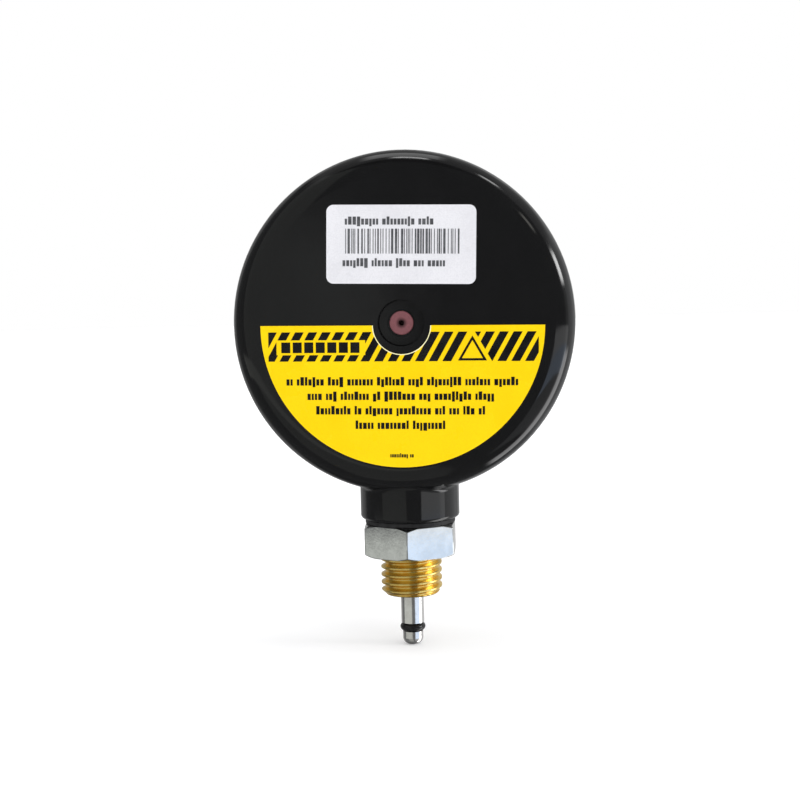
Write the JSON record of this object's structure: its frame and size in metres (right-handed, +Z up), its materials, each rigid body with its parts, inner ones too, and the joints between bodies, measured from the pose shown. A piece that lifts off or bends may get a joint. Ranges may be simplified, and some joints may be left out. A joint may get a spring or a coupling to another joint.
{
  "type": "pressure gauge head",
  "caption": "Round Bourdon-tube pressure gauge head with rear relief plug, bottom stem, lock nut, straight thread and O-ring spigot.",
  "frame": {"origin": "on the stem axis at the end face of the thread, where the spigot leaves it", "axes": "+Z up the stem towards the case, the dial faces -Y, the back with the relief plug faces +Y"},
  "size_m": [0.0654, 0.0294, 0.0952],
  "materials": {
    "case_plastic": "glossy black moulded ABS",
    "bezel_plastic": "glossy black moulded ABS",
    "window_clear": "clear moulded polycarbonate",
    "seal_rubber": "black nitrile rubber",
    "dial_face": "white painted aluminium with black graduations",
    "small_steel": "turned steel",
    "movement_brass": "stamped and turned brass",
    "serial_film": "white printed film label",
    "warning_film": "yellow printed film label",
    "stem_brass": "machined brass",
    "spigot_steel": "turned stainless steel",
    "tube_bronze": "phosphor bronze",
    "pointer_black": "black enamel",
    "nut_nickel": "bright nickel plate",
    "plug_rubber": "dusty red rubber"
  },
  "bodies": {
    "gauge": {"case": "case_plastic", "bezel_ring": "bezel_plastic", "window": "window_clear", "window_gasket": "seal_rubber", "dial": "dial_face", "dial_screws": "small_steel", "dial_posts": "movement_brass", "zero_stop_pin": "movement_brass", "serial_label": "serial_film", "warning_label": "warning_film", "stem": "stem_brass", "neck_seal": "seal_rubber", "restrictor": "movement_brass", "spigot": "spigot_steel", "spigot_o_ring": "seal_rubber", "socket_block": "stem_brass", "bourdon_tube": "tube_bronze", "front_plate": "movement_brass", "rear_plate": "movement_brass", "plate_pillars": "movement_brass", "plate_screws": "small_steel", "movement_screws": "small_steel", "hairspring_stud": "movement_brass"},
    "sector": {"sector_gear": "movement_brass", "sector_arbor": "small_steel", "sector_pin": "small_steel"},
    "pointer": {"pointer": "pointer_black", "pointer_hub": "pointer_black", "pinion_arbor": "small_steel", "hairspring_collet": "movement_brass", "hairspring": "tube_bronze"},
    "link": {"link": "movement_brass"},
    "tube_end": {"tube_tip": "tube_bronze", "tip_pin": "small_steel"},
    "washer": {"seal_washer": "seal_rubber"},
    "nut": {"lock_nut": "nut_nickel"},
    "plug": {"relief_plug": "plug_rubber"}
  },
  "joints": [
    {"name": "sector_turn", "type": "hinge", "parent": "gauge", "child": "sector", "pos_m": [0.00299, -0.002, 0.0377], "axis": [0, -1, 0], "range_deg": [0, 30], "stiffness_Nm_per_rad": 0.05},
    {"name": "pointer_spin", "type": "hinge", "parent": "gauge", "child": "pointer", "pos_m": [0, -0.002, 0.0524], "axis": [0, 1, 0], "range_deg": [0, 270], "deforming": ["hairspring"]},
    {"name": "link_swing", "type": "hinge", "parent": "sector", "child": "link", "pos_m": [0.00682, -0.0032, 0.03449], "axis": [0, -1, 0], "range_deg": [-32.5, 0]},
    {"name": "tip_flex", "type": "hinge", "parent": "gauge", "child": "tube_end", "pos_m": [-0.00225, 0, 0.05712], "axis": [0, -1, 0], "range_deg": [0, 6.2], "deforming": ["bourdon_tube"]},
    {"name": "washer_travel", "type": "slide", "parent": "gauge", "child": "washer", "axis": [0, 0, -1], "range_m": [0, 0.003]},
    {"name": "nut_turn", "type": "hinge", "parent": "washer", "child": "nut", "pos_m": [0, 0, 0.0108], "axis": [0, 0, -1], "range_deg": [0, 720]},
    {"name": "plug_pop", "type": "slide", "parent": "gauge", "child": "plug", "axis": [0, 1, 0], "range_m": [0, 0.008]}
  ],
  "couplings": [
    {"joint": "pointer_spin", "follows": "sector_turn", "ratio": 9},
    {"joint": "link_swing", "follows": "sector_turn", "ratio": -1.0646},
    {"joint": "tip_flex", "follows": "sector_turn", "ratio": 0.19831},
    {"joint": "washer_travel", "follows": "nut_turn", "m_per_rad": 0.00023873}
  ]
}
